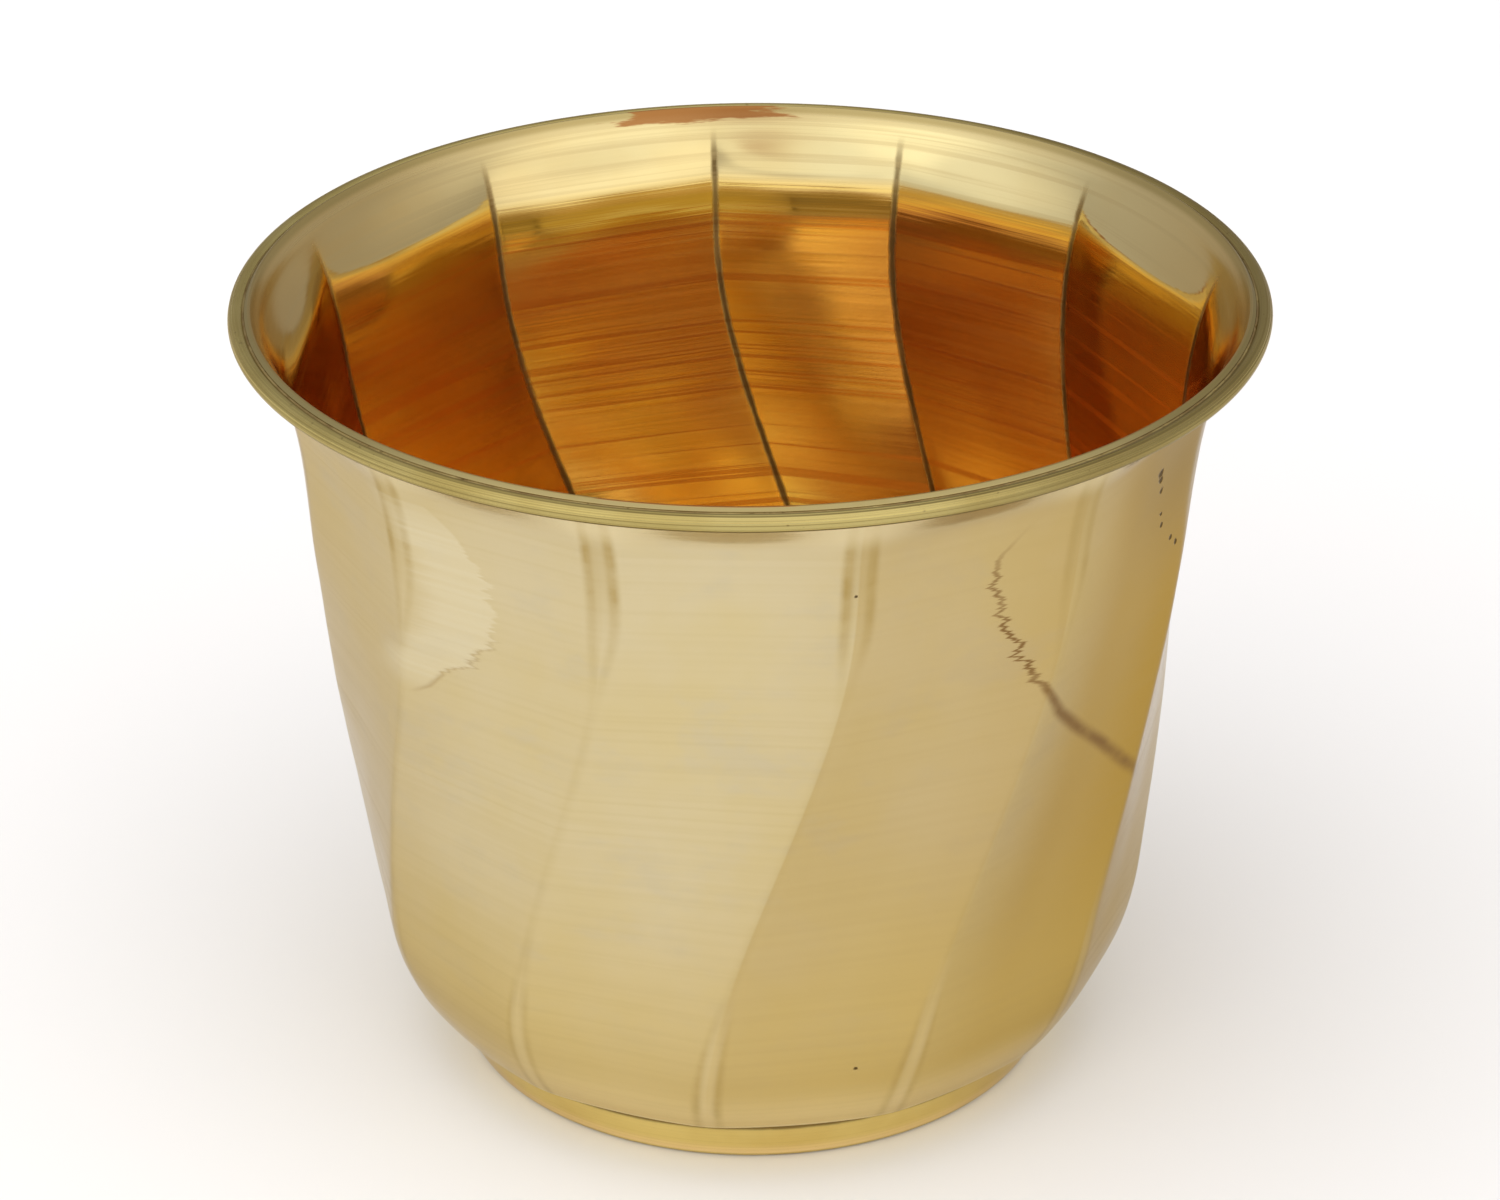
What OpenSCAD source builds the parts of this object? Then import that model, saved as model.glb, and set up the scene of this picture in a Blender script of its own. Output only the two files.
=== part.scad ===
// Swirl-fluted brass pot: a thin sheet wall with twelve nearly flat panels, a
// flared lip stiffened by a solid ring, and a shallow round pan as its base.
// The origin is the centre of the face it stands on, +Z up, -Y to the front.

/* [Overall] */
// Outside diameter of the rim ring
rim_d = 150; // [110:1:190]
// Overall height
height = 120; // [105:1:140]
// Thickness of the brass sheet
sheet_t = 1; // [0.7:0.1:1.2]

/* [Wall] */
// Diameter over the creases where the wall meets the lip flare
neck_d = 132.4; // [126:0.2:136]
// Diameter over the creases at the top of the rounded shoulder
shoulder_d = 118.2; // [114:0.2:121]
// Diameter over the creases at the wall's lower edge
seam_d = 102; // [101.6:0.2:103]
// Height at which the rounded shoulder becomes the straight wall
shoulder_h = 29; // [26:1:32]
// Height of the lip flare, measured down from the top
flare_h = 23; // [18:1:26]
// How strongly the flare curls outward: higher bends later and harder
flare_power = 2.6; // [2:0.1:3.2]

/* [Flutes] */
// Number of panels round the wall
panel_count = 12; // [12:1:14]
// Angle of the first crease from the front, towards +X
first_crease = 12.4; // [-15:0.1:15]
// Turn of each crease from top to bottom, seen from above
swirl_angle = -20; // [-30:1:30]
// How flat the panels are: 0 is a round wall, 1 is flat facets
flatness = 0.95; // [0.2:0.05:1]
// Flatness that is left at the wall's lower edge
foot_flatness = 0.42; // [0.2:0.02:0.42]

/* [Base pan] */
// Diameter of the base just above the bend where it turns up from the ground
foot_d = 90.8; // [89:0.2:90.8]
// Height of the visible band between the ground and the wall
band_h = 9; // [8.5:0.5:9.5]
// Lap of the pan inside the wall
lap_h = 3.5; // [2:0.5:4]
// How far the middle of the base is pushed up
push_up = 1.5; // [0.5:0.5:3]

/* [Rim ring] */
// Diameter of the ring wire
wire_d = 2.5; // [2:0.1:3]

/* [Hidden] */

// Hand-made unevenness of each crease's angle, in degrees, from the front round
crease_error = [0, 0, 1, -3, -0.3, -2.4, -7.8, -6.2, -3.7, 2, 0.6, -0.1];
// Places of the columns across one panel: closer together beside a crease
column_steps = [0, 0.05, 0.16, 0.33, 0.5, 0.67, 0.84, 0.95];
// Number of rings of points in the shoulder, in the wall and in the flare
shoulder_rings = 7;
wall_rings = 11;
flare_rings = 9;

// Thickness of brazing metal between the lip and the ring, where they are closest
braze_gap = 0.25;
// Clearance between the foot's brazing metal and the round pan
facet_gap = 0.03;

// The lip's last stretch is straight, at the flare's end angle
lip_straight = 2.4;
wire_r = wire_d / 2;
wire_setback = 0.3;
flare_z = height - flare_h;
wall_slope = (neck_d - shoulder_d) / 2 / (flare_z - shoulder_h);
lip_angle = 35;
lip_out = [cos(lip_angle), -sin(lip_angle)];
lip_up = [sin(lip_angle), cos(lip_angle)];
// Outer corner of the lip's cut edge, so that the ring reaches rim_d and the lip height
lip_end = [rim_d / 2 - wire_r - (wire_r + braze_gap) * lip_out[0] + wire_setback * lip_up[0],
           height + sheet_t * lip_out[1]];
lip_start = lip_end - lip_straight * lip_up;
ring_centre = lip_end + (wire_r + braze_gap) * lip_out - wire_setback * lip_up;
// The flare adds this much radius to the wall's straight line
flare_extra = lip_start[0] - neck_d / 2 - wall_slope * (lip_start[1] - flare_z);

// Circular arc of the shoulder, from the seam to the straight wall
shoulder_top_angle = atan(wall_slope);
shoulder_chord_angle = atan((shoulder_d - seam_d) / 2 / (shoulder_h - band_h));
shoulder_end_angle = 2 * shoulder_chord_angle - shoulder_top_angle;
shoulder_r = (shoulder_h - band_h) / (sin(shoulder_end_angle) - sin(shoulder_top_angle));

// Creases swing between these heights
swirl_low = 0.08 * height;
swirl_high = 0.85 * height;
// The panels fade into the round lip between these heights
fade_low = height - 10;
fade_high = height - 2.5;

// Base pan: slope of its wall, bend radius, and widths of the resting ring and the push-up's step
pan_angle = 24;
bend_r = 1.6;
rest_w = 5;
push_w = 4;
bend_steps = 6;

function smooth(x) = let (s = max(0, min(1, x))) s * s * (3 - 2 * s);
function unit(v) = v / norm(v);
function left_of(v) = [-v[1], v[0]];

// Radius over the creases at height z, on the outside
function shoulder_radius(z) =
    let (a = asin(sin(shoulder_end_angle) - (z - band_h) / shoulder_r))
    seam_d / 2 + shoulder_r * (cos(a) - cos(shoulder_end_angle));
function wall_radius(z) = neck_d / 2 + wall_slope * (z - flare_z);
function flare_radius(z) =
    wall_radius(z) + flare_extra * pow((z - flare_z) / (lip_start[1] - flare_z), flare_power);
function crease_radius(z) =
    z < shoulder_h ? shoulder_radius(z) : z < flare_z ? wall_radius(z) : flare_radius(z);

// Outline of the wall's outside, from the seam up to the lip's edge
wall_path = [
    for (i = [0 : shoulder_rings - 1])
        let (z = band_h + (shoulder_h - band_h) * i / shoulder_rings) [crease_radius(z), z],
    for (i = [0 : wall_rings - 1])
        let (z = shoulder_h + (flare_z - shoulder_h) * i / wall_rings) [crease_radius(z), z],
    for (i = [0 : flare_rings])
        let (z = flare_z + (lip_start[1] - flare_z) * i / flare_rings) [crease_radius(z), z],
    lip_end
];

// A sheet's other side: each point moves t along the mitre of its two edges
function edge_normal(path, i) = left_of(unit(path[i + 1] - path[i]));
function mitre(path, i) =
    let (last = len(path) - 1,
         a = edge_normal(path, max(0, i - 1)),
         b = edge_normal(path, min(i, last - 1)),
         m = unit(a + b))
    m / (m * a);
function far_side(path, t) = [for (i = [0 : len(path) - 1]) path[i] + t * mitre(path, i)];

// Panels: angle of each crease, flatness at a height and the pull towards a flat facet
function crease_angle(i) =
    first_crease + 360 * i / panel_count + crease_error[i % panel_count % 12];
function panel_span(i) = crease_angle(i + 1) - crease_angle(i);
function swirl(z) = swirl_angle * smooth((swirl_high - z) / (swirl_high - swirl_low));
function flat_at(z) =
    (foot_flatness + (flatness - foot_flatness) * smooth((z - band_h) / (shoulder_h - band_h)))
    * (1 - smooth((z - fade_low) / (fade_high - fade_low)));
function facet(half, off) = 1 - cos(half) / cos(off);

// A point of the wall on panel i, at the fraction u across it
function wall_point(p, i, u) =
    let (half = panel_span(i) / 2,
         r = p[0] * (1 - flat_at(p[1]) * facet(half, half * (2 * u - 1))),
         angle = crease_angle(i) + 2 * half * u + swirl(p[1]) - 90)
    [r * cos(angle), r * sin(angle), p[1]];

// Closed tube of a loop of outline points, carried round every column
module swept_ring(columns) {
    rows = len(columns[0]);
    count = len(columns);
    points = [for (column = columns) each column];
    faces = [
        for (c = [0 : count - 1], k = [0 : rows - 1])
            let (d = (c + 1) % count, l = (k + 1) % rows,
                 p = c * rows + k, q = c * rows + l, s = d * rows + l, t = d * rows + k)
            each [[p, q, s], [p, s, t]]
    ];
    polyhedron(points = points, faces = faces);
}

// Fluted wall and flared lip, raised from one sheet
module body_shell() {
    inner_path = far_side(wall_path, sheet_t);
    last = len(wall_path) - 1;
    loop = [each wall_path, for (i = [last : -1 : 0]) inner_path[i]];
    color("#d9c27e")
        swept_ring([
            for (i = [0 : panel_count - 1], u = column_steps)
                [for (p = loop) wall_point(p, i, u)]
        ]);
}

// Solid ring that stiffens the lip from outside
module rim_ring() {
    color("#c2b45a")
        rotate_extrude($fn = 180)
            translate(ring_centre)
                circle(r = wire_r, $fn = 48);
}

// Brazing metal between the lip and the ring, with a shallow groove left on top.
// Its side against the ring is a few flat steps that touch the ring from outside.
module rim_braze() {
    lap = 1.6;
    groove = 0.1;
    low_angle = -54;
    high_angle = 14;
    steps = 5;
    step = (high_angle - low_angle) / steps;
    touch_r = wire_r / cos(step / 2);
    color("#a8924a")
        rotate_extrude($fn = 180)
            polygon([
                lip_end - groove * lip_up,
                lip_end - lap * lip_up,
                for (k = [0 : steps])
                    let (a = low_angle + k * step)
                    ring_centre + touch_r * (sin(a) * lip_up - cos(a) * lip_out)
            ]);
}

function pan_radius(z) = foot_d / 2 + (z - bend_r) * tan(pan_angle);
bend_centre = [pan_radius(bend_r) - bend_r / cos(pan_angle), bend_r];
pan_path = [
    [0, push_up],
    [bend_centre[0] - rest_w - push_w, push_up],
    [bend_centre[0] - rest_w, 0],
    for (i = [0 : bend_steps])
        let (a = (90 - pan_angle) * i / bend_steps)
        bend_centre + bend_r * [sin(a), -cos(a)],
    [pan_radius(band_h + lap_h), band_h + lap_h]
];

// Round pan that closes the bottom, lapped inside the wall
module base_pan() {
    inside = far_side(pan_path, sheet_t);
    last = len(pan_path) - 1;
    color("#d6ab4a")
        rotate_extrude($fn = 180)
            polygon([each pan_path, for (i = [last : -1 : 0]) inside[i]]);
}

// Brazing metal that fills the lap between the round pan and the fluted wall
module foot_braze() {
    inner_path = far_side(wall_path, sheet_t);
    color("#a8924a")
        swept_ring([
            for (i = [0 : panel_count - 1], u = column_steps)
                [
                    for (k = [1, 0]) let (p = inner_path[k])
                        wall_point([pan_radius(p[1]) + facet_gap, p[1]], i, u),
                    for (k = [0, 1]) wall_point(inner_path[k], i, u)
                ]
        ]);
}

body_shell();
rim_ring();
rim_braze();
base_pan();
foot_braze();
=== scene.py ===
import math

import bmesh
import bpy
import numpy as np
from mathutils import Matrix, Vector


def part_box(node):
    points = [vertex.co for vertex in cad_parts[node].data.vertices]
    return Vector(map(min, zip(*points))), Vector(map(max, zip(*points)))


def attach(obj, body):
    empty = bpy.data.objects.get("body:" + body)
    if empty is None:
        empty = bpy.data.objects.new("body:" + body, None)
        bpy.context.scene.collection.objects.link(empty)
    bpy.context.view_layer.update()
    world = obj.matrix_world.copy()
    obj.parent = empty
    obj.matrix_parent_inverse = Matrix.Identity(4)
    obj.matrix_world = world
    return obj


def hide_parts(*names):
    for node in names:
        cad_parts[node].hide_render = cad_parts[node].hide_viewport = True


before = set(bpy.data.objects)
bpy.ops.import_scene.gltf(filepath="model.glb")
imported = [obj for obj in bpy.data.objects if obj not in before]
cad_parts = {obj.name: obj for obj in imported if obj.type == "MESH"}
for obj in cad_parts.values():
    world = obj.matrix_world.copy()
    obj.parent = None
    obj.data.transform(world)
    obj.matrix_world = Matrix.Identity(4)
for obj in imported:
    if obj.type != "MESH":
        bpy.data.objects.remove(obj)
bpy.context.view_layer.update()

# A brass pot with swirled panels. Lengths are in metres and the axes are the frame's: +Z up, -Y to the
# front, +X to the right. Azimuths run from the front round to the right. Each visible piece replaces
# one node of the frame.
MM = 0.001

# ---------------------------------------------------------------- sizes measured on the frame
TOP_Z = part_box("body_shell")[1].z
SEAM_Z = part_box("body_shell")[0].z
PAN_TOP_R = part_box("base_pan")[1].x
PAN_TOP_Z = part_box("base_pan")[1].z
RING_LOW, RING_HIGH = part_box("rim_ring")
RIM_R = min(abs(v) for corner in (RING_LOW, RING_HIGH) for v in (corner.x, corner.y))
WIRE_R = (RING_HIGH.z - RING_LOW.z) / 2
RING_CENTRE = np.array([RIM_R - WIRE_R, (RING_HIGH.z + RING_LOW.z) / 2])

# ---------------------------------------------------------------- sizes the frame is built from
SHEET = 1.0 * MM
# wall: radii over the creases and their heights
SEAM_R = 51.0 * MM
SHOULDER_R = 59.1 * MM
SHOULDER_Z = 29.0 * MM
NECK_R = 66.2 * MM
FLARE_Z = TOP_Z - 23.0 * MM
FLARE_POWER = 2.6
# lip: section, as (radius, height)
LIP_ANGLE = math.radians(35)
LIP_STRAIGHT = 2.4 * MM
WIRE_GAP = 0.25 * MM
WIRE_SETBACK = 0.3 * MM
LIP_OUT = np.array([math.cos(LIP_ANGLE), -math.sin(LIP_ANGLE)])
LIP_UP = np.array([math.sin(LIP_ANGLE), math.cos(LIP_ANGLE)])
LIP_END = RING_CENTRE - (WIRE_R + WIRE_GAP) * LIP_OUT + WIRE_SETBACK * LIP_UP
LIP_START = LIP_END - LIP_STRAIGHT * LIP_UP
# panels: angles in degrees, flatness from 0 for round to 1 for flat
PANELS = 12
FIRST_CREASE = 12.4
CREASE_ERROR = (0, 0, 1, -3, -0.3, -2.4, -7.8, -6.2, -3.7, 2, 0.6, -0.1)
SWIRL = -20.0
SWIRL_LOW, SWIRL_HIGH = 0.08 * TOP_Z, 0.85 * TOP_Z
FLAT = 0.95
FOOT_FLAT = 0.42
FADE_LOW, FADE_HIGH = TOP_Z - 10 * MM, TOP_Z - 2.5 * MM
# base pan
PAN_SLOPE = math.tan(math.radians(24))
PUSH_UP = 1.5 * MM
BEND_R = 1.6 * MM
REST_W = 5.0 * MM
PUSH_W = 4.0 * MM

# ---------------------------------------------------------------- marks of making and of age, and painted light
# Columns of points across one panel
PANEL_COLUMNS = 32
# Slow waves that the hammering leaves: depth, waves round the pot, waves up its height, phase
WAVES = (
    (0.090 * MM, 3, 0.7, 0.4),
    (0.055 * MM, 7, -1.6, 2.2),
    (0.035 * MM, 13, 2.7, 1.1),
    (0.022 * MM, 23, -5.0, 4.0),
    (0.012 * MM, 9, 9.0, 0.7),
)
# Half the width of the flat along the top of each ridge, near the lip and near the foot
LIP_RIDGE, FOOT_RIDGE = 1.7 * MM, 1.5 * MM
# Lines turned into the bead: angle round the wire's section in radians, depth in mm
BEAD_GROOVES = ((-0.55, 0.05), (0.25, 0.07), (0.62, 0.09), (0.95, 0.06), (1.3, 0.08))
# How dark each panel is painted, from 0 to 1, at its first crease, middle and last crease: partly
# tarnish, partly painted shade of the light that each panel reflects
OUTER_TONES = (
    (0.36, 0.40, 0.52), (0.42, 0.78, 0.92), (0.85, 0.65, 0.55), (0.50, 0.30, 0.40),
    (0.20, 0.30, 0.45), (0.40, 0.55, 0.30), (0.20, 0.10, 0.30), (0.50, 0.60, 0.40),
    (0.30, 0.25, 0.20), (0.30, 0.22, 0.18), (0.14, 0.05, 0.05), (0.00, 0.00, 0.10),
)
INNER_TONES = (
    (0.00, 0.00, 0.00), (0.00, 0.00, 0.00), (0.05, 0.05, 0.10), (0.80, 1.00, 0.80),
    (0.05, 0.20, 0.55), (0.70, 0.50, 0.10), (0.00, 0.00, 0.30), (0.66, 0.60, 0.55),
    (0.95, 1.00, 0.75), (0.10, 0.05, 0.05), (0.00, 0.00, 0.00), (0.00, 0.00, 0.00),
)
# The lip's painted sheen is brightest at this angle from the back towards the right; away from it
# the lip is painted darker
LIP_SHEEN = 8
# Pits near the lip at the right, and specks lower down: azimuth, height in mm, size in mm
PITS = (
    (61.5, 104.6, 0.8), (61.9, 103.4, 0.7), (62.7, 101.3, 0.6), (63.8, 97.0, 0.4),
    (64.3, 95.0, 0.5), (67.5, 91.5, 0.5), (69.2, 90.0, 0.5), (12.0, 103.0, 0.3),
    (14.8, 21.7, 0.35),
)
# Painted reflections on the outside, along these lines: height in mm, azimuth
RIGHT_REFLECTION = (
    (50, 70), (57, 62), (64, 55), (70, 48), (75, 43), (81, 39),
    (87, 35), (94, 32), (100, 30.5), (104, 31), (110, 36),
)
LEFT_REFLECTION = (
    (76, -50), (79, -45.5), (82, -43), (85, -38.5), (89, -35),
    (95, -33.5), (101, -35), (106, -38), (110, -42),
)


# ---------------------------------------------------------------- outlines
def smooth(x):
    s = np.clip(x, 0, 1)
    return s * s * (3 - 2 * s)


def crease_radius(z):
    """Radius over the creases, outside: a shoulder arc, a straight taper, a flare, a straight lip."""
    slope = (NECK_R - SHOULDER_R) / (FLARE_Z - SHOULDER_Z)
    top = math.atan(slope)
    end = 2 * math.atan((SHOULDER_R - SEAM_R) / (SHOULDER_Z - SEAM_Z)) - top
    arc = (SHOULDER_Z - SEAM_Z) / (math.sin(end) - math.sin(top))
    a = np.arcsin(np.clip(math.sin(end) - (z - SEAM_Z) / arc, -1, 1))
    shoulder = SEAM_R + arc * (np.cos(a) - math.cos(end))
    wall = NECK_R + slope * (z - FLARE_Z)
    extra = LIP_START[0] - NECK_R - slope * (LIP_START[1] - FLARE_Z)
    rise = np.clip((z - FLARE_Z) / (LIP_START[1] - FLARE_Z), 0, None)
    lip = LIP_START[0] + (z - LIP_START[1]) * math.tan(LIP_ANGLE)
    r = np.where(z < SHOULDER_Z, shoulder, wall)
    r = np.where(z > FLARE_Z, wall + extra * rise ** FLARE_POWER, r)
    return np.where(z > LIP_START[1], lip, r)


def wall_path():
    """Outline of the wall's outside, from the seam to the lip's cut edge."""
    z = np.concatenate([
        np.linspace(SEAM_Z, SHOULDER_Z, 24)[:-1],
        np.linspace(SHOULDER_Z, FLARE_Z, 72)[:-1],
        np.linspace(FLARE_Z, LIP_END[1], 44),
    ])
    return np.stack([crease_radius(z), z], 1)


def pan_radius(z):
    return PAN_TOP_R - (PAN_TOP_Z - BEND_R) * PAN_SLOPE + (z - BEND_R) * PAN_SLOPE


def far_side(path, t):
    """The sheet's other side: each point moved t to the left, along the mitre of its two edges."""
    d = np.diff(path, axis=0)
    d /= np.linalg.norm(d, axis=1, keepdims=True)
    n = np.stack([-d[:, 1], d[:, 0]], 1)
    a, b = np.vstack([n[:1], n]), np.vstack([n, n[-1:]])
    m = a + b
    m /= np.linalg.norm(m, axis=1, keepdims=True)
    return path + t * m / (m * a).sum(1, keepdims=True)


def rounded(loop, radius):
    """The closed loop with each corner in radius, a dict of index and size, turned into a curve.
    Gives the new points, and for each one the index of the point that it comes from."""
    out, source = [], []
    t = np.linspace(0, 1, 6)[:, None]
    for i, p in enumerate(loop):
        if i not in radius:
            out.append(p[None])
            source.append([i])
            continue
        back, ahead = loop[i - 1] - p, loop[(i + 1) % len(loop)] - p
        a = p + radius[i] * back / np.linalg.norm(back)
        b = p + radius[i] * ahead / np.linalg.norm(ahead)
        out.append((1 - t) ** 2 * a + 2 * t * (1 - t) * p + t ** 2 * b)
        source.append([i] * len(t))
    return np.vstack(out), np.concatenate(source)


# ---------------------------------------------------------------- meshes
def grid_mesh(name, points, merge=False):
    """A mesh of points[row][column], closed both ways, smooth shaded."""
    rows, count = points.shape[:2]
    r, c = np.meshgrid(np.arange(rows), np.arange(count), indexing="ij")
    r2, c2 = (r + 1) % rows, (c + 1) % count
    corners = (r * count + c, r * count + c2, r2 * count + c2, r2 * count + c)
    mesh = bpy.data.meshes.new(name)
    mesh.from_pydata(points.reshape(-1, 3).tolist(), [], np.stack(corners, -1).reshape(-1, 4).tolist())
    if merge:
        work = bmesh.new()
        work.from_mesh(mesh)
        bmesh.ops.remove_doubles(work, verts=work.verts, dist=1e-7)
        work.to_mesh(mesh)
        work.free()
    mesh.update()
    mesh.polygons.foreach_set("use_smooth", [True] * len(mesh.polygons))
    obj = bpy.data.objects.new(name, mesh)
    bpy.context.collection.objects.link(obj)
    return obj


def lathe(name, profile, count, dent=None):
    """A closed profile of (radius, height) turned round the axis. dent gives, for an angle, how far
    each row moves in radius and in height."""
    a = np.linspace(0, 2 * math.pi, count, endpoint=False)[None]
    r, z = profile[:, :1] + 0 * a, profile[:, 1:2] + 0 * a
    if dent is not None:
        dr, dz = dent(a)
        r, z = r + dr, z + dz
    touches_axis = bool(np.any(profile[:, 0] == 0))
    return grid_mesh(name, np.stack([r * np.cos(a), r * np.sin(a), z], -1), touches_axis)


def float_attribute(mesh, name, values):
    layer = mesh.attributes.new(name, "FLOAT", "POINT")
    layer.data.foreach_set("value", np.asarray(values, dtype=np.float32).ravel())


def assign(obj, *materials):
    for material in materials:
        obj.data.materials.append(material)


# ---------------------------------------------------------------- fluted wall
def crease_angle(i):
    return FIRST_CREASE + 360 * i / PANELS + CREASE_ERROR[i % PANELS]


def panel_columns():
    """The angles of the two creases and the fraction between them, for each column of points."""
    u = np.arange(PANEL_COLUMNS) / PANEL_COLUMNS
    crowding = 0.125  # towards the creases
    u = u - crowding * np.sin(2 * math.pi * u)
    return np.array([(crease_angle(i), crease_angle(i + 1), k) for i in range(PANELS) for k in u])


def flatness(z):
    low = FOOT_FLAT + (FLAT - FOOT_FLAT) * smooth((z - SEAM_Z) / (SHOULDER_Z - SEAM_Z))
    return low * (1 - smooth((z - FADE_LOW) / (FADE_HIGH - FADE_LOW)))


def swirl(z):
    return SWIRL * smooth((SWIRL_HIGH - z) / (SWIRL_HIGH - SWIRL_LOW))


def chamfer_half(z):
    """Half the width of the flat that runs along the top of each ridge, outside."""
    near_lip = LIP_RIDGE * smooth((z - 0.68 * TOP_Z) / (0.14 * TOP_Z))
    near_foot = FOOT_RIDGE * smooth((0.38 * TOP_Z - z) / (0.24 * TOP_Z))
    return near_lip + near_foot


def waves(angle, z):
    fade = smooth((z - SEAM_Z) / (8 * MM)) * smooth((LIP_END[1] - z) / (5 * MM))
    total = 0
    for depth, around, up, phase in WAVES:
        total = total + depth * np.sin(around * angle + 2 * math.pi * up * z / TOP_Z + phase)
    return fade * total


def wall_points(columns, path, inside):
    """Points of the wall, one row per point of the path and one column per column, and each one's
    distance to its crease. inside runs from 0 on the outer face to 1 on the inner face."""
    r0, z, inside = path[:, :1], path[:, 1:], np.asarray(inside)[:, None]
    a, b, u = columns[None, :, 0], columns[None, :, 1], columns[None, :, 2]
    half = np.radians((b - a) / 2)
    off = half * (2 * u - 1)
    to_crease = r0 * (half - np.abs(off))
    slope = math.tan(math.radians(180 / PANELS))
    bend = (0.9 - 0.6 * inside) * MM
    flat = (1 - inside) * chamfer_half(z)
    # a corner with a flat on top and rounded edges, less the sharp corner
    cut = (np.sqrt((to_crease - flat) ** 2 + bend ** 2)
           + np.sqrt((to_crease + flat) ** 2 + bend ** 2))
    facet = r0 * (1 - np.cos(half) / np.cos(off))
    drop = facet + slope * (cut / 2 - to_crease)
    angle = np.radians(a + u * (b - a) + swirl(z) - 90)
    r = r0 - flatness(z) * drop + waves(angle, z)
    xyz = np.stack([r * np.cos(angle), r * np.sin(angle), z + 0 * r], -1)
    return xyz, np.broadcast_to(to_crease, r.shape)


def panel_tone(columns, tones):
    """Tone of each column: from one crease's value through the middle's to the other's."""
    first, middle, last = np.repeat(np.array(tones), PANEL_COLUMNS, axis=0).T
    u = columns[:, 2]
    to_middle = first + (middle - first) * smooth(2 * u)
    to_last = middle + (last - middle) * smooth(2 * u - 1)
    return np.where(u < 0.5, to_middle, to_last)


def azimuths(xyz):
    return np.degrees(np.arctan2(xyz[..., 0], -xyz[..., 1]))


def mark_offset(xyz, mark):
    """Distance round the pot from a mark's line, for each point; far away beyond the mark's ends."""
    z, azimuth = np.array(mark).T
    height = xyz[..., 2] / MM
    turn = azimuths(xyz) - np.interp(height, z, azimuth)
    turn = np.where((height < z[0]) | (height > z[-1]), 90, turn)
    return np.radians(turn) * np.linalg.norm(xyz[..., :2], axis=-1)


def pits_on(outer):
    """Where each pit lies on the outer face's points, and its size."""
    turn = azimuths(outer)
    pits = []
    for azimuth, height, size in PITS:
        off = np.hypot(np.radians(turn - azimuth) * SHOULDER_R, outer[:, 2] - height * MM)
        r = np.linalg.norm(outer[np.argmin(off), :2])
        a = math.radians(azimuth)
        pits.append(((r * math.sin(a), -r * math.cos(a), height * MM), size * MM))
    return pits


def make_shell():
    columns = panel_columns()
    outer = wall_path()
    n = len(outer)
    loop = np.concatenate([outer, far_side(outer, SHEET)[::-1]])
    corners = {0: 0.35 * MM, n - 1: 0.15 * MM, n: 0.3 * MM, 2 * n - 1: 0.2 * MM}
    path, source = rounded(loop, corners)
    inside = (source >= n).astype(float)
    xyz, to_crease = wall_points(columns, path, inside)
    obj = grid_mesh("fluted_wall", xyz)
    outer_tone, inner_tone = panel_tone(columns, OUTER_TONES), panel_tone(columns, INNER_TONES)
    from_back = np.degrees(np.arctan2(xyz[..., 0], xyz[..., 1]))
    attributes = {
        "crease": to_crease,
        "ridge_edge": np.abs(to_crease - chamfer_half(path[:, 1:])),
        "tone": outer_tone + inside[:, None] * (inner_tone - outer_tone),
        "from_back": np.abs(from_back - LIP_SHEEN) / 90,
        "left_reflection": mark_offset(xyz, LEFT_REFLECTION),
        "right_reflection": mark_offset(xyz, RIGHT_REFLECTION),
    }
    for name, values in attributes.items():
        float_attribute(obj.data, name, values)
    assign(obj, outside_brass(pits_on(xyz[inside == 0].reshape(-1, 3))), inside_brass())
    row = np.arange(len(obj.data.polygons)) // len(columns)
    obj.data.polygons.foreach_set("material_index", (inside[row] > 0.5).astype(np.int32))
    return obj


# ---------------------------------------------------------------- rim
def make_ring():
    t = np.linspace(0, 2 * math.pi, 72, endpoint=False)
    r = np.full_like(t, WIRE_R)
    for groove, depth in BEAD_GROOVES:
        r -= depth * MM * np.exp(-((t - groove) / 0.06) ** 2)
    profile = np.stack([RING_CENTRE[0] + r * np.cos(t), RING_CENTRE[1] + r * np.sin(t)], 1)
    obj = lathe("rim_bead", profile, 900)
    assign(obj, bead_brass())
    return obj


def make_rim_solder():
    """The filling between the lip's cut edge and the ring: hollow on top, with pores, and a fillet
    below."""
    top, low, reach = 0.05 * MM, 1.6 * MM, 0.6 * WIRE_R
    s = np.linspace(0, 1, 9)[:, None]
    sag = 0.12 * MM * np.sin(math.pi * s) * LIP_UP
    above = (LIP_END - top * LIP_UP) * (1 - s) + (RING_CENTRE + reach * LIP_UP) * s - sag
    below = (LIP_END - low * LIP_UP) * (1 - s) + (RING_CENTRE - reach * LIP_UP) * s + 2 * sag
    profile = np.concatenate([below, above[::-1]])
    on_top = np.concatenate([np.zeros(9), np.sin(math.pi * s[::-1, 0])])[:, None]

    def pores(a):
        rough = np.sin(61 * a) + np.sin(97 * a + 1) + np.sin(173 * a + 2) + np.sin(239 * a + 4)
        # deepest at the right
        deep = np.clip(rough - 1.4, 0, 1) * (0.4 + 0.6 * smooth(np.cos(a + math.radians(10))))
        depth = 0.3 * MM * deep * on_top
        return -depth * LIP_UP[0], -depth * LIP_UP[1]

    obj = lathe("rim_solder", profile, 1800, pores)
    assign(obj, solder("brazing_rim"))
    return obj


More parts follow.
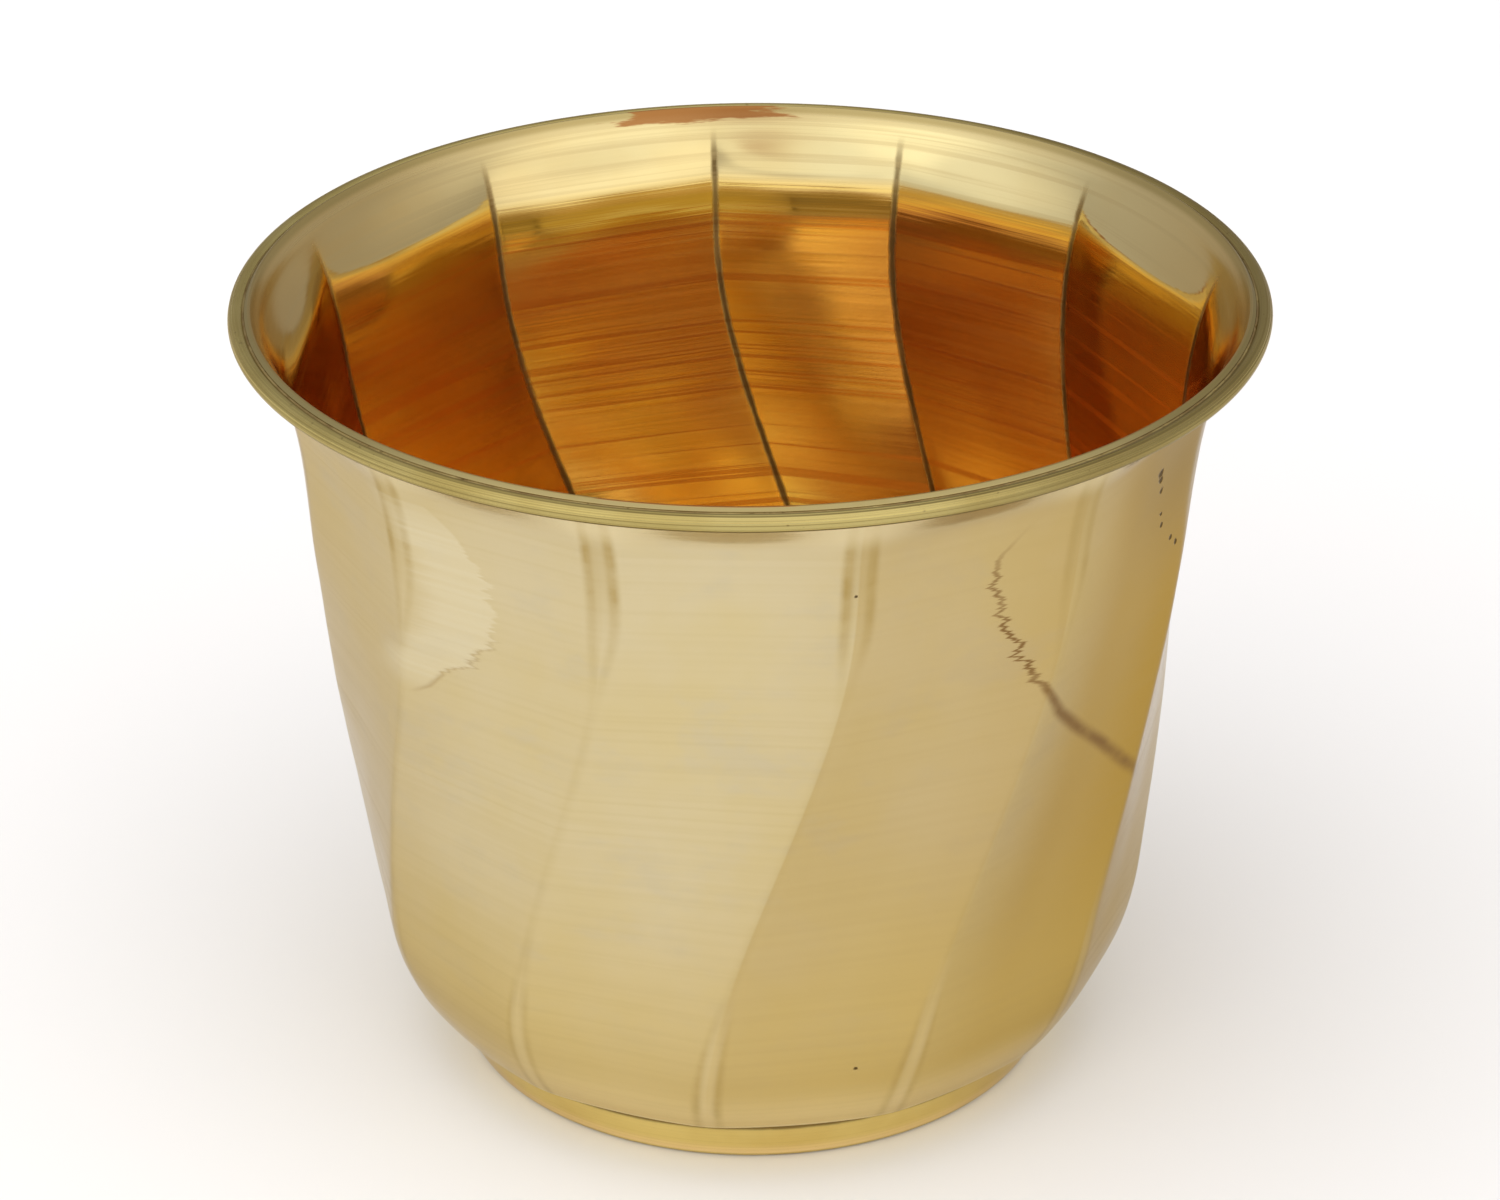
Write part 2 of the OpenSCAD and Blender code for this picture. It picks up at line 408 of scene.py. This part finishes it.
# ---------------------------------------------------------------- base
def make_pan():
    lean = math.atan(PAN_SLOPE)
    bend_r = pan_radius(BEND_R) - BEND_R / math.cos(lean)
    bend = np.linspace(0, math.pi / 2 - lean, 12)
    foot = bend_r - REST_W
    step_in = foot - PUSH_W
    s = np.linspace(0, 1, 10)
    rise = np.linspace(BEND_R, PAN_TOP_Z, 30)[1:]
    middle = np.linspace(0, step_in, 90)[:-1]
    path = np.concatenate([
        np.stack([middle, np.full_like(middle, PUSH_UP)], 1),
        np.stack([step_in + PUSH_W * s, PUSH_UP * (1 - smooth(s))], 1),
        np.stack([foot + REST_W * s[1:-1], 0 * s[1:-1]], 1),
        np.stack([bend_r + BEND_R * np.sin(bend), BEND_R * (1 - np.cos(bend))], 1),
        np.stack([pan_radius(rise), rise], 1),
    ])
    inner = far_side(path, SHEET)
    inner[0, 0] = 0
    # rings left by spinning, and the dimple of the lathe's centre
    r = inner[:, 0]
    rings = 0.025 * MM * np.sin(2 * math.pi * r / (2.1 * MM)) * smooth((foot - r) / (6 * MM))
    inner[:, 1] += rings
    inner[:, 1] -= 0.25 * MM * np.exp(-(r / (1.3 * MM)) ** 2)
    n = len(path)
    edge = {n - 1: 0.25 * MM, n: 0.25 * MM}
    loop, _ = rounded(np.concatenate([path, inner[::-1]]), edge)
    obj = lathe("spun_pan", loop, 480)
    assign(obj, pan_brass())
    return obj


def make_foot_solder():
    """The filling of the lap between the round pan and the fluted wall."""
    inner = far_side(wall_path(), SHEET)
    gap = 0.02 * MM
    low, high = SEAM_Z + 0.3 * MM, PAN_TOP_Z - 0.5 * MM
    s = np.linspace(0, 1, 7)
    sag = np.sin(math.pi * s)
    rise = np.linspace(low, high, 8)[1:-1]
    # height and share of the way from the pan to the wall, round the section
    height = np.concatenate([low + 0.2 * MM * sag, rise, high - 0.25 * MM * sag, rise[::-1]])
    share = np.concatenate([s, 0 * rise + 1, s[::-1], 0 * rise])[:, None]
    wall_r = np.interp(height, inner[:, 1], inner[:, 0])
    xyz, _ = wall_points(panel_columns(), np.stack([wall_r, height], 1), 0 * height + 1)
    wall = np.linalg.norm(xyz[..., :2], axis=-1)
    pan = pan_radius(height)[:, None]
    r = (pan + gap) * (1 - share) + (wall - gap) * share
    xyz[..., :2] *= (r / wall)[..., None]
    obj = grid_mesh("foot_solder", xyz)
    assign(obj, solder("brazing_foot"))
    return obj


# ---------------------------------------------------------------- material tools
class Nodes:
    """Builds one node tree. Every value may be a socket or a plain value."""

    def __init__(self, tree):
        self.tree = tree

    def put(self, socket, value):
        if isinstance(value, bpy.types.NodeSocket):
            self.tree.links.new(value, socket)
        elif value is not None:
            socket.default_value = value

    def node(self, kind, *inputs, **settings):
        """A new node with its settings and its first inputs filled."""
        n = self.tree.nodes.new("ShaderNode" + kind)
        for name, value in settings.items():
            setattr(n, name, value)
        for socket, value in zip(n.inputs, inputs):
            self.put(socket, value)
        return n

    def maths(self, operation, *inputs):
        return self.node("Math", *inputs, operation=operation).outputs[0]

    def add(self, a, b):
        return self.maths("ADD", a, b)

    def times(self, *factors):
        total = factors[0]
        for factor in factors[1:]:
            total = self.maths("MULTIPLY", total, factor)
        return total

    def ramp(self, value, start, end, low=0.0, high=1.0):
        """A smooth step of value between start and end."""
        n = self.node("MapRange", value, start, end, low, high, interpolation_type="SMOOTHSTEP")
        return n.outputs[0]

    def mix(self, factor, a, b):
        n = self.node("Mix", data_type="RGBA")
        self.put(n.inputs[0], factor)
        self.put(n.inputs[6], (*a, 1) if isinstance(a, tuple) else a)
        self.put(n.inputs[7], (*b, 1) if isinstance(b, tuple) else b)
        return n.outputs[2]

    def attribute(self, name):
        return self.node("Attribute", attribute_name=name).outputs["Fac"]


class Metal(Nodes):
    """A metal whose colour is laid on in layers, over the place on the object."""

    def __init__(self, name, edge=(0.78, 0.73, 0.64)):
        self.material = bpy.data.materials.new(name)
        self.material.use_nodes = True
        super().__init__(self.material.node_tree)
        self.shader = self.tree.nodes["Principled BSDF"]
        self.shader.inputs["Metallic"].default_value = 1
        self.shader.inputs["Specular Tint"].default_value = (*edge, 1)
        self.where = self.node("TexCoord").outputs["Object"]
        self.x, self.y, self.z = self.node("SeparateXYZ", self.where).outputs

    def height(self, start, end, low=0.0, high=1.0):
        """A smooth step over the height, between start and end in mm."""
        return self.ramp(self.z, start * MM, end * MM, low, high)

    def noise(self, scale, detail=3.0, roughness=0.5, where=None):
        """Noise over the object, stretched by a scale for each axis."""
        place = self.node("Mapping", where or self.where)
        place.inputs["Scale"].default_value = scale if isinstance(scale, tuple) else (scale,) * 3
        n = self.node("TexNoise", place.outputs[0])
        n.inputs["Scale"].default_value = 1
        n.inputs["Detail"].default_value = detail
        n.inputs["Roughness"].default_value = roughness
        return n.outputs[0]

    def base(self, factor, a, b):
        """The first colour, between a and b."""
        self.colour = self.mix(factor, a, b)

    def lay(self, colour, *factors):
        """A colour over what is there, as strong as the factors' product."""
        self.colour = self.mix(self.times(*factors), self.colour, colour)

    def finish(self, roughness, *layers):
        """The material, with bump from layers of (height, distance), one over the other."""
        self.put(self.shader.inputs["Base Color"], self.colour)
        self.put(self.shader.inputs["Roughness"], roughness)
        normal = None
        for height, distance in layers:
            n = self.node("Bump")
            n.inputs["Strength"].default_value = 1
            n.inputs["Distance"].default_value = distance
            self.put(n.inputs["Height"], height)
            self.put(n.inputs["Normal"], normal)
            normal = n.outputs[0]
        self.put(self.shader.inputs["Normal"], normal)
        return self.material


# ---------------------------------------------------------------- colours
# dark brown: dirt, and painted shadow under the bead and under the wall's edge
GRIME_AND_SHADE = (0.13, 0.08, 0.025)
OLD_GOLD = (0.44, 0.32, 0.12)
# outside of the wall
CHAMPAGNE = (0.63, 0.535, 0.325)
STRAW = (0.62, 0.51, 0.265)
GREYED = (0.56, 0.49, 0.33)
WARM = (0.41, 0.245, 0.03)
FOOT_GOLD = (0.60, 0.44, 0.14)
FOOT_PAINTED_LIGHT = (0.86, 0.70, 0.36)
SEAM_HIGHLIGHT = (0.97, 0.86, 0.56)
RIDGE_SHADE = (0.40, 0.28, 0.09)
RIDGE_HIGHLIGHT = (0.80, 0.69, 0.44)
REFLECTION_LINE = (0.22, 0.12, 0.04)
REFLECTION_EDGE = (0.30, 0.18, 0.06)
REFLECTION_PALE = (0.72, 0.64, 0.43)
FLARE_LIGHT = (0.80, 0.69, 0.42)
RIGHT_SHADE_AND_TARNISH = (0.30, 0.20, 0.07)
CUT_EDGE = (0.30, 0.24, 0.09)
PIT = (0.07, 0.04, 0.015)
# inside of the wall
INSIDE_EDGE = (0.96, 0.88, 0.76)
LIP_STRAW = (0.68, 0.59, 0.31)
LIP_GOLD = (0.65, 0.53, 0.25)
WALL_LIGHT = (1.00, 0.86, 0.46)
WALL_DEEP = (0.99, 0.80, 0.40)
BAND_GOLD = (0.80, 0.58, 0.17)
PANEL_COPPER = (0.45, 0.23, 0.12)
STREAK_COPPER = (0.66, 0.32, 0.10)
LIP_SIDE_SHADE = (0.42, 0.26, 0.08)
LIP_STREAK = (0.48, 0.37, 0.17)
LIP_OLIVE = (0.33, 0.25, 0.09)
STAIN = (0.32, 0.13, 0.035)
# bead
BEAD_LIGHT = (0.50, 0.41, 0.155)
BEAD_DEEP = (0.42, 0.33, 0.11)
BEAD_LINE = (0.22, 0.16, 0.05)
BEAD_RIGHT_SHADE = (0.20, 0.145, 0.05)
# pan
PAN_LIGHT = (0.85, 0.69, 0.26)
PAN_DEEP = (0.77, 0.59, 0.20)
PAN_INSIDE_LIGHT = (0.98, 0.77, 0.40)
PAN_LINE = (0.56, 0.40, 0.14)
PAN_WORN = (0.48, 0.38, 0.20)
# brazing metal
BRAZE_LIGHT = (0.46, 0.36, 0.15)
BRAZE_DARK = (0.28, 0.19, 0.08)


# ---------------------------------------------------------------- materials
def lay_ridge_shading(m, mottle):
    """Painted shade along the ridges' edges, most near the lip and the foot, a painted dark line
    along the creases near the lip, and a painted highlight on the ridges' flats near the foot.
    """
    edge = m.ramp(m.attribute("ridge_edge"), 1.3 * MM, 0.0)
    ends = m.add(m.height(88, 106, 0, 0.75), m.height(48, 20, 0.16, 0.5))
    # painted shade along the ridges' edges
    m.lay(RIDGE_SHADE, edge, ends, m.ramp(mottle, 0.35, 0.65, 0.5, 1.1))
    crease = m.attribute("crease")
    # a painted dark line along the creases near the lip
    m.lay(OLD_GOLD, m.ramp(crease, 2.0 * MM, 1.2 * MM), m.height(90, 110, 0, 0.40))
    # a painted highlight on the ridges' flats near the foot
    m.lay(RIDGE_HIGHLIGHT, m.ramp(crease, 1.6 * MM, 0.6 * MM), m.height(44, 22, 0, 0.22))


def lay_painted_reflections(m, brushed, mottle):
    """Painted reflections with toothed edges: a brown line at the right, and at the left a paler
    patch with a brown edge.
    """
    strokes = m.noise((10, 10, 1100), 3, 0.6)
    toothed = m.times(m.height(80, 84), m.height(106, 100))
    shift = m.times(m.maths("SUBTRACT", strokes, 0.5), toothed, 8 * MM)
    right = m.add(m.attribute("right_reflection"), shift)
    left = m.add(m.attribute("left_reflection"), shift)
    half_width = m.height(88, 70, 0.75 * MM, 2.6 * MM)
    line = m.ramp(m.maths("ABSOLUTE", right), half_width, 0.1 * MM)
    broken = m.ramp(mottle, 0.3, 0.6, 0.45, 0.95)
    # painted reflection at the right: a brown line
    m.lay(REFLECTION_LINE, line, m.height(110, 98), m.height(49, 58), broken)
    # painted reflection at the left: a brown edge, and a paler patch beside it
    line = m.ramp(m.maths("ABSOLUTE", left), 1.0 * MM, 0.1 * MM)
    m.lay(REFLECTION_EDGE, line, m.height(93, 87), m.height(76, 79), 0.35)
    patch = m.times(m.ramp(left, 0.4 * MM, -0.4 * MM), m.ramp(left, -15 * MM, -8 * MM))
    streaked = m.ramp(brushed, 0.3, 0.7, 0.35, 0.65)
    m.lay(REFLECTION_PALE, patch, m.height(76, 82), m.height(113, 104), streaked)


def lay_pits(m, pits):
    """Dark pits with uneven edges. Gives how far within a pit each place is, from 0 to 1."""
    uneven = m.times(m.noise(900.0, 3), 0.9 * MM)
    pitted = 0.0
    for place, size in pits:
        off = m.node("VectorMath", m.where, place, operation="DISTANCE").outputs["Value"]
        near = m.ramp(m.add(off, uneven), size + 0.5 * MM, 0.6 * size + 0.4 * MM)
        pitted = m.maths("MAXIMUM", pitted, near)
    m.lay(PIT, pitted, 0.9)
    return pitted


def outside_brass(pits):
    m = Metal("brass_outside")
    fine = m.noise((22, 22, 3600), 2)
    brushed = m.noise((5, 5, 1100), 4, 0.6)
    cloud = m.noise(24.0, 4, 0.6)
    mottle = m.noise((60, 60, 110), 5, 0.65)
    m.base(m.ramp(cloud, 0.36, 0.66), CHAMPAGNE, STRAW)
    m.lay(GREYED, m.ramp(mottle, 0.5, 0.72, 0, 0.6))
    # each panel's tone: partly tarnish, partly painted shade of the light that the panel reflects
    m.lay(WARM, m.attribute("tone"))
    # yellower towards the foot; the lowest part is painted paler as painted light, and a painted
    # highlight runs along the wall's lower edge
    m.lay(FOOT_GOLD, m.height(62, 14, 0, 0.62))
    m.lay(FOOT_PAINTED_LIGHT, m.height(20, 10, 0, 0.75))
    m.lay(SEAM_HIGHLIGHT, m.ramp(m.z, SEAM_Z + 1.0 * MM, SEAM_Z + 0.4 * MM, 0, 0.6))
    # brushing shows as slightly darker lines, with a ring of faint scratches below the middle
    m.lay(OLD_GOLD, m.ramp(brushed, 0.4, 0.8, 0, 0.12))
    ring = m.times(m.height(50, 57), m.height(68, 61))
    scratches = m.ramp(m.noise((4, 4, 1700), 2), 0.60, 0.70)
    m.lay(OLD_GOLD, ring, scratches, 0.18)
    lay_ridge_shading(m, mottle)
    lay_painted_reflections(m, brushed, mottle)
    # painted light under the bead, where the flare is painted paler; browner near the lip at the
    # right, partly painted shade of that side and partly tarnish; olive along the lip's cut edge
    m.lay(FLARE_LIGHT, m.height(110, 114, 0, 0.6))
    m.lay(RIGHT_SHADE_AND_TARNISH, m.ramp(m.x, 48 * MM, 61 * MM), m.height(82, 106, 0, 0.8))
    m.lay(CUT_EDGE, m.ramp(m.z, TOP_Z - 0.75 * MM, TOP_Z - 0.5 * MM, 0, 0.85))
    pitted = lay_pits(m, pits)
    rough = m.add(m.ramp(cloud, 0.3, 0.7, 0.13, 0.20), m.ramp(brushed, 0.4, 0.8, 0, 0.07))
    rough = m.add(rough, m.times(pitted, 0.3))
    return m.finish(
        rough, (fine, 0.006 * MM), (brushed, 0.012 * MM), (mottle, 0.02 * MM),
        (m.times(pitted, -1.0), 0.15 * MM))


def lay_stain(m):
    """A brown stain with a ragged edge on the lip at the back, just below the bead."""
    ragged = m.maths("SUBTRACT", m.noise((60, 60, 700), 4, 0.7), 0.5)
    up = m.add(m.z, m.times(ragged, 3 * MM))
    across = m.add(m.x, m.times(ragged, 30 * MM))
    top = m.ramp(up, 118.0 * MM, 118.4 * MM, 0, 0.9)
    m.lay(STAIN, top, m.ramp(across, -21 * MM, -18 * MM), m.ramp(across, 8 * MM, 4 * MM))


def inside_brass():
    m = Metal("brass_inside", INSIDE_EDGE)
    brushed = m.noise((6, 6, 900), 3, 0.6)
    cloud = m.noise(26.0, 4, 0.6)
    patchy = m.ramp(cloud, 0.35, 0.7)
    below_lip = m.times(m.height(111, 102), m.height(35, 60))
    lip_colour = m.mix(patchy, LIP_STRAW, LIP_GOLD)
    wall_colour = m.mix(patchy, WALL_LIGHT, WALL_DEEP)
    m.base(m.height(111, 107), lip_colour, wall_colour)
    # a yellower band where the lip begins
    m.lay(BAND_GOLD, m.height(111, 108.5), m.height(101, 105))
    # below the lip each panel is darkened in its own way: partly tarnish, partly painted shade of
    # the light that the panel reflects
    m.lay(PANEL_COPPER, below_lip, m.attribute("tone"))
    m.lay(STREAK_COPPER, below_lip, m.ramp(brushed, 0.55, 0.60, 0, 0.7))
    # darker lines along the creases
    crease = m.add(m.attribute("crease"), m.times(m.noise(420.0, 3), 0.5 * MM))
    thick = m.ramp(m.noise(70.0, 2), 0.3, 0.6, 0.7, 0.95)
    line = m.times(m.ramp(crease, 1.05 * MM, 0.40 * MM), m.height(117.5, 112), thick)
    m.lay(GRIME_AND_SHADE, line)
    # painted sheen: the lip is left brightest near the back and painted darker and browner
    # towards the sides
    lip = m.height(106, 112)
    m.lay(LIP_SIDE_SHADE, lip, m.ramp(m.attribute("from_back"), 0.15, 0.9, 0, 0.7))
    m.lay(LIP_STREAK, lip, m.ramp(brushed, 0.48, 0.6, 0, 0.4))
    m.lay(LIP_OLIVE, m.height(118.6, 119.4, 0, 0.75))
    lay_stain(m)
    # smoothest where the lip begins, dull on the lip and in the creases
    polished = m.times(m.height(115, 112), m.height(98, 104))
    rough = m.add(m.ramp(brushed, 0.35, 0.8, 0.11, 0.22), m.times(line, 0.35))
    rough = m.add(rough, m.times(m.height(113, 116), 0.08))
    rough = m.maths("SUBTRACT", rough, m.times(polished, 0.06))
    return m.finish(rough, (brushed, 0.02 * MM))


def bead_brass():
    m = Metal("brass_bead")
    turned = m.noise((5, 5, 5200), 3, 0.6)
    m.base(m.ramp(m.noise(60.0, 4), 0.35, 0.7), BEAD_LIGHT, BEAD_DEEP)
    m.lay(BEAD_LINE, m.ramp(turned, 0.48, 0.66, 0, 0.7))
    # dirt and painted shadow on its underside; darker towards the right, partly painted shade of
    # that side and partly tarnish
    m.lay(GRIME_AND_SHADE, m.ramp(m.z, RING_LOW.z + 0.7 * MM, RING_LOW.z + 0.2 * MM, 0, 0.85))
    m.lay(BEAD_RIGHT_SHADE, m.ramp(m.x, 12 * MM, 50 * MM, 0, 0.6))
    m.lay(GRIME_AND_SHADE, m.ramp(m.noise(1100.0, 2), 0.70, 0.78), 0.7)
    return m.finish(m.ramp(turned, 0.35, 0.75, 0.24, 0.42), (turned, 0.03 * MM))


def pan_brass():
    m = Metal("brass_pan")
    r = m.maths("SQRT", m.add(m.maths("POWER", m.x, 2.0), m.maths("POWER", m.y, 2.0)))
    rings = m.node("CombineXYZ", r, 0.0, m.z).outputs[0]
    spun = m.noise((2600, 1, 2600), 3, 0.6, where=rings)
    cloud = m.noise(45.0, 4, 0.6)
    m.base(m.ramp(cloud, 0.35, 0.7), PAN_LIGHT, PAN_DEEP)
    # painted shadow under the wall's edge, with dirt in the seam
    seam = m.add(m.z, m.times(m.noise(300.0, 3), 0.5 * MM))
    m.lay(GRIME_AND_SHADE, m.ramp(seam, SEAM_Z - 2.4 * MM, SEAM_Z - 1.6 * MM, 0, 0.85))
    # painted light: the pot's floor, inside, is painted paler to lighten the inside of the pot
    m.lay(PAN_INSIDE_LIGHT, m.height(0.6, 1.2), m.ramp(r, 46 * MM, 45 * MM))
    m.lay(PAN_LINE, m.ramp(spun, 0.45, 0.8, 0, 0.3))
    # rubbed dull where it stands
    worn = m.height(0.5, 0.1)
    m.lay(PAN_WORN, worn, 0.6)
    rough = m.add(m.ramp(spun, 0.3, 0.8, 0.12, 0.24), m.times(worn, 0.2))
    return m.finish(rough, (spun, 0.012 * MM), (cloud, 0.05 * MM))


def solder(name):
    m = Metal(name)
    grain = m.noise(900.0, 4, 0.7)
    m.base(m.ramp(m.noise(160.0, 3), 0.35, 0.65), BRAZE_LIGHT, BRAZE_DARK)
    m.lay(GRIME_AND_SHADE, m.ramp(grain, 0.55, 0.75))
    return m.finish(m.ramp(grain, 0.3, 0.7, 0.3, 0.5), (grain, 0.08 * MM))


# ---------------------------------------------------------------- camera, floor and light
CAMERA_ELEVATION = math.radians(27.15)
CAMERA_ROLL = math.radians(-0.39)
CAMERA_DISTANCE = 0.705
CAMERA_AIM = Vector((-0.0003, 0, 0.0693))
# millimetres of lens over millimetres of sensor
CAMERA_LENS, CAMERA_SENSOR = 113.7, 36
# Soft lights and dark corners of the studio: azimuth, elevation, radius and softness in degrees, and
# the colour that they add
STUDIO = (
    (0, 50, 60, 50, (0.66, 0.64, 0.62)),
    (40, 28, 18, 26, (0.24, 0.23, 0.20)),
    (-42, 25, 14, 20, (0.34, 0.33, 0.28)),
    (-5, 17, 6, 9, (-0.50, -0.50, -0.48)),
    (0, 43, 6, 10, (-0.44, -0.60, -0.68)),
    (180, 20, 30, 40, (-0.16, -0.16, -0.16)),
)
AMBIENT = (0.66, 0.65, 0.66)
KEY_PLACE = (-0.5, -0.4, 1.3)
# Light that bounces between the polished walls takes many turns to fade
BOUNCES = 24


def toward(azimuth, elevation):
    """Unit vector at an azimuth and an elevation, in degrees."""
    a, e = math.radians(azimuth), math.radians(elevation)
    return Vector((math.sin(a) * math.cos(e), -math.cos(a) * math.cos(e), math.sin(e)))


def make_camera():
    data = bpy.data.cameras.new("camera")
    data.sensor_width = CAMERA_SENSOR
    data.lens = CAMERA_LENS
    cam = bpy.data.objects.new("camera", data)
    bpy.context.collection.objects.link(cam)
    back = Vector((0, -math.cos(CAMERA_ELEVATION), math.sin(CAMERA_ELEVATION)))
    turn = (-back).to_track_quat("-Z", "Y").to_matrix().to_4x4()
    roll = Matrix.Rotation(CAMERA_ROLL, 4, "Z")
    cam.matrix_world = Matrix.Translation(CAMERA_AIM + back * CAMERA_DISTANCE) @ turn @ roll
    bpy.context.scene.camera = cam


def make_floor():
    bpy.ops.mesh.primitive_plane_add(size=6)
    floor = bpy.context.object
    floor.name = "floor"
    material = bpy.data.materials.new("pale_floor")
    material.use_nodes = True
    shader = material.node_tree.nodes["Principled BSDF"]
    shader.inputs["Base Color"].default_value = (0.88, 0.88, 0.88, 1)
    shader.inputs["Roughness"].default_value = 0.9
    shader.inputs["Specular IOR Level"].default_value = 0.1
    assign(floor, material)


def make_world():
    world = bpy.data.worlds.new("studio")
    bpy.context.scene.world = world
    world.use_nodes = True
    t = Nodes(world.node_tree)
    where = t.node("TexCoord").outputs["Generated"]
    total = AMBIENT
    for azimuth, elevation, radius, soft, colour in STUDIO:
        aim = t.node("VectorMath", where, toward(azimuth, elevation), operation="DOT_PRODUCT")
        outer, inner = radius + soft / 2, max(0, radius - soft / 2)
        near = t.ramp(aim.outputs["Value"], math.cos(math.radians(outer)), math.cos(math.radians(inner)))
        lit = t.node("VectorMath", colour, operation="SCALE")
        t.put(lit.inputs["Scale"], near)
        total = t.node("VectorMath", total, lit.outputs[0], operation="ADD").outputs[0]
    t.put(t.tree.nodes["Background"].inputs["Color"], total)


def make_key_light():
    area = bpy.data.lights.new("key", "AREA")
    area.size = 2.0
    area.energy = 7
    key = bpy.data.objects.new("key", area)
    bpy.context.collection.objects.link(key)
    key.location = KEY_PLACE
    key.visible_glossy = False
    key.rotation_euler = (-key.location).to_track_quat("-Z", "Y").to_euler()


# ---------------------------------------------------------------- the scene
def finish_piece(obj, node_name):
    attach(obj, "root")
    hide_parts(node_name)


make_camera()
make_floor()
make_world()
make_key_light()

finish_piece(make_shell(), "body_shell")
finish_piece(make_ring(), "rim_ring")
finish_piece(make_rim_solder(), "rim_braze")
finish_piece(make_pan(), "base_pan")
finish_piece(make_foot_solder(), "foot_braze")

bpy.context.scene.cycles.max_bounces = BOUNCES
bpy.context.scene.cycles.glossy_bounces = BOUNCES
bpy.context.scene.view_settings.view_transform = "Standard"
